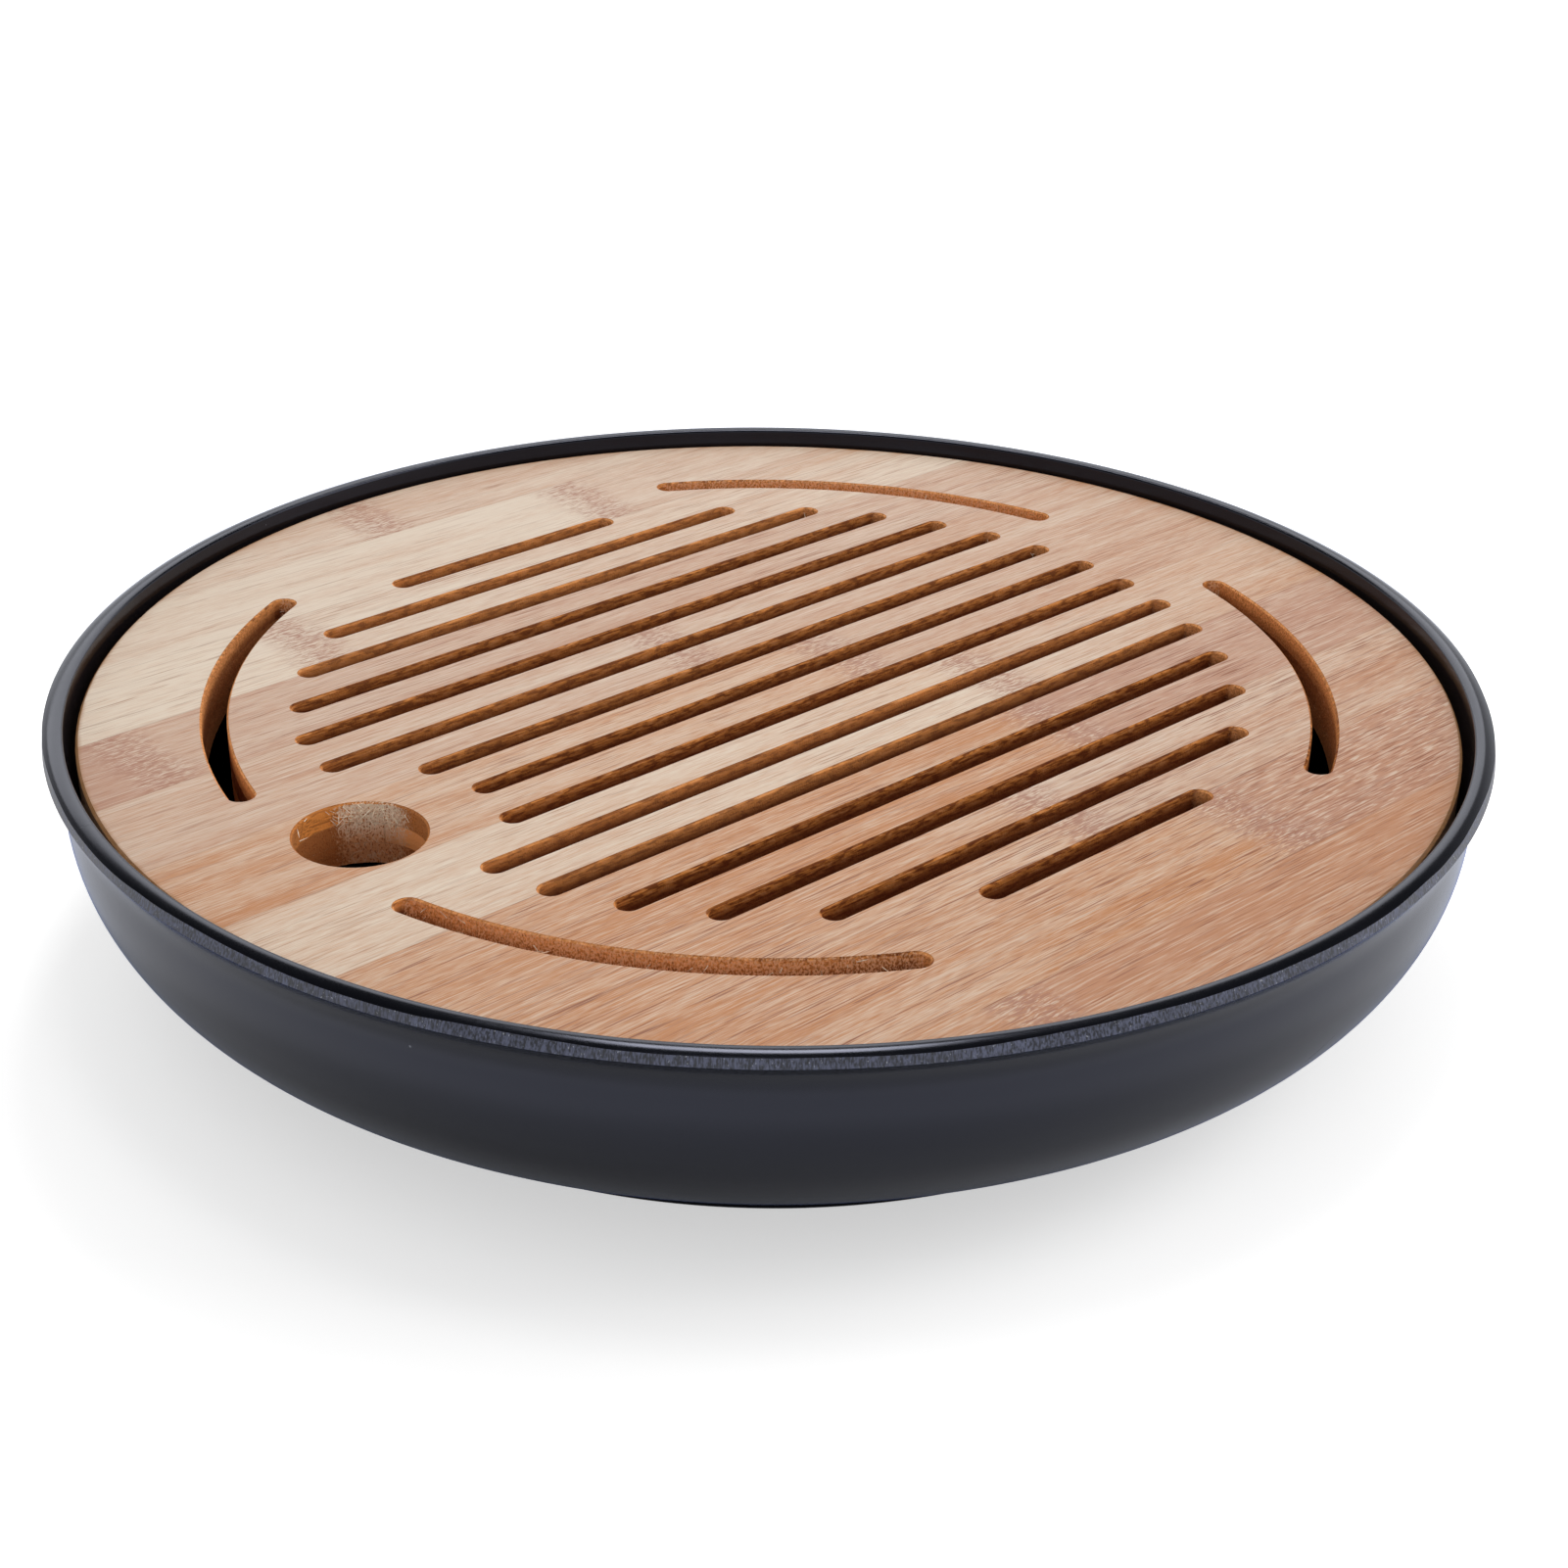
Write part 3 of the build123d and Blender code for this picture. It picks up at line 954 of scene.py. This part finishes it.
def fibre_tree():
    """Geometry nodes that scatter slivers on milled walls, most where the cutter ran against the grain."""
    nodes, given = new_group("loose_fibres", "GeometryNodeTree", {
        "Geometry": ("Geometry",),
        "Int": ("Count", "Seed"),
        "Float": ("Length", "Width", "Board radius", "Board top", "Hole distance", "Hole reach"),
        "Material": ("Fibre",),
    }, {"Geometry": ("Geometry",)})
    board, seed = given["Geometry"], given["Seed"]
    wall, share_here = milled_walls(nodes, given)
    area = nodes.value("GeometryNodeInputMeshFaceArea")
    total = nodes.value("GeometryNodeAttributeStatistic", {
        "Geometry": board, "Selection": wall, 2: area}, "Sum", domain="FACE")
    density = nodes.calc("DIVIDE", given["Count"], total.most(1e-6))
    points = nodes.values("GeometryNodeDistributePointsOnFaces", {
        "Mesh": board, "Selection": wall, "Density": density * share_here, "Seed": seed})

    # Each sliver leans out of its wall, in a direction of its own
    any_way = nodes.value("FunctionNodeRandomValue", {
        0: (-1.0, -1.0, -1.0), 1: (1.0, 1.0, 1.0), "Seed": seed}, data_type="FLOAT_VECTOR")
    along = nodes.vector("NORMALIZE", nodes.vector("CROSS_PRODUCT", points["Normal"], any_way))
    out = nodes.value("ShaderNodeVectorMath", {
        0: points["Normal"], "Scale": any_number(nodes, 0.05, 0.45, seed + 1.0)}, operation="SCALE")
    turn = nodes.value("FunctionNodeAlignRotationToVector", {
        "Vector": nodes.vector("ADD", along, out)}, axis="Z")
    stretch = nodes.join(1.0, 1.0, any_number(nodes, 0.3, 1.0, seed + 2.0))
    radius = given["Width"] * 0.5
    sliver = nodes.value("GeometryNodeMeshCone", {
        "Vertices": 4, "Radius Top": radius * 0.4, "Radius Bottom": radius, "Depth": given["Length"]})
    spread = nodes.value("GeometryNodeInstanceOnPoints", {
        "Points": points["Points"], "Instance": sliver, "Rotation": turn, "Scale": stretch})

    # None stands above the board
    height = nodes.value("GeometryNodeInputPosition").parts()[2]
    kept = nodes.shape("DeleteGeometry", nodes.shape("RealizeInstances", spread), {
        "Selection": height > given["Board top"]})
    nodes.add("NodeGroupOutput", {0: nodes.shape("SetMaterial", kept, {"Material": given["Fibre"]})})
    return nodes.tree


def add_object(name, data):
    """A new object in the scene."""
    added = bpy.data.objects.new(name, data)
    bpy.context.scene.collection.objects.link(added)
    return added


def grown(name, mesh, tree, values):
    """Runs a geometry node tree on a mesh, and returns the result as a plain mesh object."""
    piece = add_object(name, mesh)
    modifier = piece.modifiers.new(name, "NODES")
    modifier.node_group = tree
    sockets = {item.name: item.identifier for item in tree.interface.items_tree if item.in_out == "INPUT"}
    for key, value in values.items():
        modifier[sockets[key]] = value
    graph = bpy.context.evaluated_depsgraph_get()
    result = bpy.data.meshes.new_from_object(piece.evaluated_get(graph), depsgraph=graph)
    piece.modifiers.clear()
    piece.data = result
    result.name = name
    if not result.polygons:
        raise RuntimeError(f"the geometry nodes of {name} made no faces")
    return piece


class TRAY_OT_make_basin(bpy.types.Operator):
    """Turns the moulded basin and dresses it in melamine"""

    bl_idname = "tray.make_basin"
    bl_label = "Make Basin"

    def execute(self, context):
        basin = context.scene.tray_basin
        centre, radius = crown_circle(basin)
        piece = grown("moulded_basin", section_mesh(basin), turning_tree(), {
            "Segments": basin.segments,
            "Grind depth": basin.grind_depth,
            "Wavers": basin.rim_radius / basin.grind_length,
            "Grind side": basin.grind_side,
            "Seed": 4.0,
            "Crown radius": radius,
            "Crown centre": (centre.x, 0.0, centre.y),
            "Melamine": melamine_material(basin),
            "Ground melamine": ground_material(basin),
        })
        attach(piece, "basin")
        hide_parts("basin")
        return {"FINISHED"}


def finish_ply(context, ply, box, looks, crossways):
    """Gives each strip of a ply its own bamboo."""
    group = bpy.data.node_groups.get("bamboo_grain") or grain_group(context.scene.tray_bamboo)
    for number, look in enumerate(looks, 1):
        place = number - (STRIP_COUNT + 1) // 2
        material = bamboo_material(f"bamboo_{ply}_{number:02d}", group, place, look, crossways, box[0].z)
        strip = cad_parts[f"{ply}_strip_{number:02d}"]
        for slot in strip.material_slots:
            slot.link = "OBJECT"
            slot.material = material


class TRAY_OT_finish_top(bpy.types.Operator):
    """Dresses the strips of the top ply, whose grain runs along the slots"""

    bl_idname = "tray.finish_top"
    bl_label = "Finish Top Ply"

    def execute(self, context):
        finish_ply(context, "top", TOP_BOX, TOP_LOOKS, False)
        return {"FINISHED"}


class TRAY_OT_finish_core(bpy.types.Operator):
    """Dresses the strips of the core, whose grain runs across the slots"""

    bl_idname = "tray.finish_core"
    bl_label = "Finish Core"

    def execute(self, context):
        finish_ply(context, "core", CORE_BOX, CORE_LOOKS, True)
        return {"FINISHED"}


class TRAY_OT_finish_base(bpy.types.Operator):
    """Dresses the strips of the base ply, whose grain runs along the slots"""

    bl_idname = "tray.finish_base"
    bl_label = "Finish Base Ply"

    def execute(self, context):
        finish_ply(context, "base", BASE_BOX, BASE_LOOKS, False)
        return {"FINISHED"}


def top_ply_mesh():
    """All the top strips in one mesh, with doubled points merged."""
    mesh = bpy.data.meshes.new("top_ply")
    joined = bmesh.new()
    for number in range(1, STRIP_COUNT + 1):
        joined.from_mesh(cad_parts[f"top_strip_{number:02d}"].data)
    bmesh.ops.remove_doubles(joined, verts=joined.verts, dist=DOUBLED)
    joined.to_mesh(mesh)
    joined.free()
    return mesh


class TRAY_OT_scatter_fibres(bpy.types.Operator):
    """Scatters loose fibres over the milled walls of the board"""

    bl_idname = "tray.scatter_fibres"
    bl_label = "Scatter Fibres"

    def execute(self, context):
        bamboo = context.scene.tray_bamboo
        piece = grown("loose_fibres", top_ply_mesh(), fibre_tree(), {
            "Count": bamboo.fibre_count,
            "Seed": 7,
            "Length": bamboo.fibre_length,
            "Width": bamboo.fibre_width,
            "Board radius": BOARD_RADIUS * MM,
            "Board top": (BOARD_TOP - 0.05) * MM,
            "Hole distance": HOLE_DISTANCE * MM,
            "Hole reach": HOLE_REACH * MM,
            "Fibre": fibre_material(bamboo),
        })
        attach(piece, "board")
        return {"FINISHED"}


def lay_floor(studio):
    """A flat floor, far wider than the tray."""
    mesh = bpy.data.meshes.new("studio_floor")
    corners = [(x * FLOOR_REACH, y * FLOOR_REACH, 0) for x, y in ((-1, -1), (1, -1), (1, 1), (-1, 1))]
    mesh.from_pydata(corners, [], [(0, 1, 2, 3)])
    mesh.materials.append(floor_material(studio))
    return add_object("studio_floor", mesh)


def add_lamp(lamp, watts):
    """A soft lamp that looks at the tray."""
    light = bpy.data.lights.new(f"{lamp.name}_lamp", "AREA")
    light.shape = "RECTANGLE"
    light.size, light.size_y = lamp.size
    light.energy = watts
    holder = add_object(f"{lamp.name}_lamp", light)
    holder.location = lamp.place
    heading = Vector((0.0, 0.0, BASIN_BOX[1].z / 2)) - Vector(lamp.place)
    holder.rotation_euler = heading.to_track_quat("-Z", "Y").to_euler()


def add_camera(studio):
    """The camera, at the photographed angle."""
    lens = bpy.data.cameras.new("view_camera")
    lens.lens = studio.focal_length
    lens.sensor_width = SENSOR_WIDTH
    lens.clip_start = NEAREST_SEEN
    camera = add_object("view_camera", lens)
    turn = Matrix.Rotation(studio.camera_heading, 4, "Z")
    tilt = Matrix.Rotation(pi / 2 - studio.camera_drop, 4, "X")
    roll = Matrix.Rotation(studio.camera_roll, 4, "Z")
    camera.matrix_world = Matrix.Translation(studio.camera_place) @ turn @ tilt @ roll
    return camera


class TRAY_OT_set_stage(bpy.types.Operator):
    """Lays the floor and sets the lamps, the world and the camera"""

    bl_idname = "tray.set_stage"
    bl_label = "Set Stage"

    def execute(self, context):
        studio = context.scene.tray_studio
        floor = lay_floor(studio)
        make_world(studio)
        for lamp in LAMPS:
            add_lamp(lamp, getattr(studio, f"{lamp.name}_power"))
        bpy.context.scene.camera = add_camera(studio)
        context.scene.view_settings.view_transform = "Standard"
        return {"FINISHED"}


class TRAY_PT_tray(bpy.types.Panel):
    """Lists the tray's settings and steps"""

    bl_idname = "TRAY_PT_tray"
    bl_label = "Tea Tray"
    bl_space_type = "VIEW_3D"
    bl_region_type = "UI"
    bl_category = "Tea Tray"

    def draw(self, context):
        for settings in (context.scene.tray_basin, context.scene.tray_bamboo, context.scene.tray_studio):
            box = self.layout.box()
            for name in settings.bl_rna.properties.keys():
                if name not in ("rna_type", "name"):
                    box.prop(settings, name)
        for step in STEPS:
            self.layout.operator(step.bl_idname)


SETTINGS = (
    ("tray_basin", BasinSettings),
    ("tray_bamboo", BambooSettings),
    ("tray_studio", StudioSettings),
)
STEPS = (
    TRAY_OT_make_basin,
    TRAY_OT_finish_top,
    TRAY_OT_finish_core,
    TRAY_OT_finish_base,
    TRAY_OT_scatter_fibres,
    TRAY_OT_set_stage,
)


def register():
    for name, group in SETTINGS:
        bpy.utils.register_class(group)
        setattr(bpy.types.Scene, name, PointerProperty(type=group))
    for part in (*STEPS, TRAY_PT_tray):
        bpy.utils.register_class(part)


def unregister():
    for part in (TRAY_PT_tray, *reversed(STEPS)):
        bpy.utils.unregister_class(part)
    for name, group in reversed(SETTINGS):
        delattr(bpy.types.Scene, name)
        bpy.utils.unregister_class(group)


def main():
    """Registers the classes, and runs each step."""
    register()
    for step in STEPS:
        group, name = step.bl_idname.split(".")
        getattr(getattr(bpy.ops, group), name)()


if __name__ == "__main__":
    main()
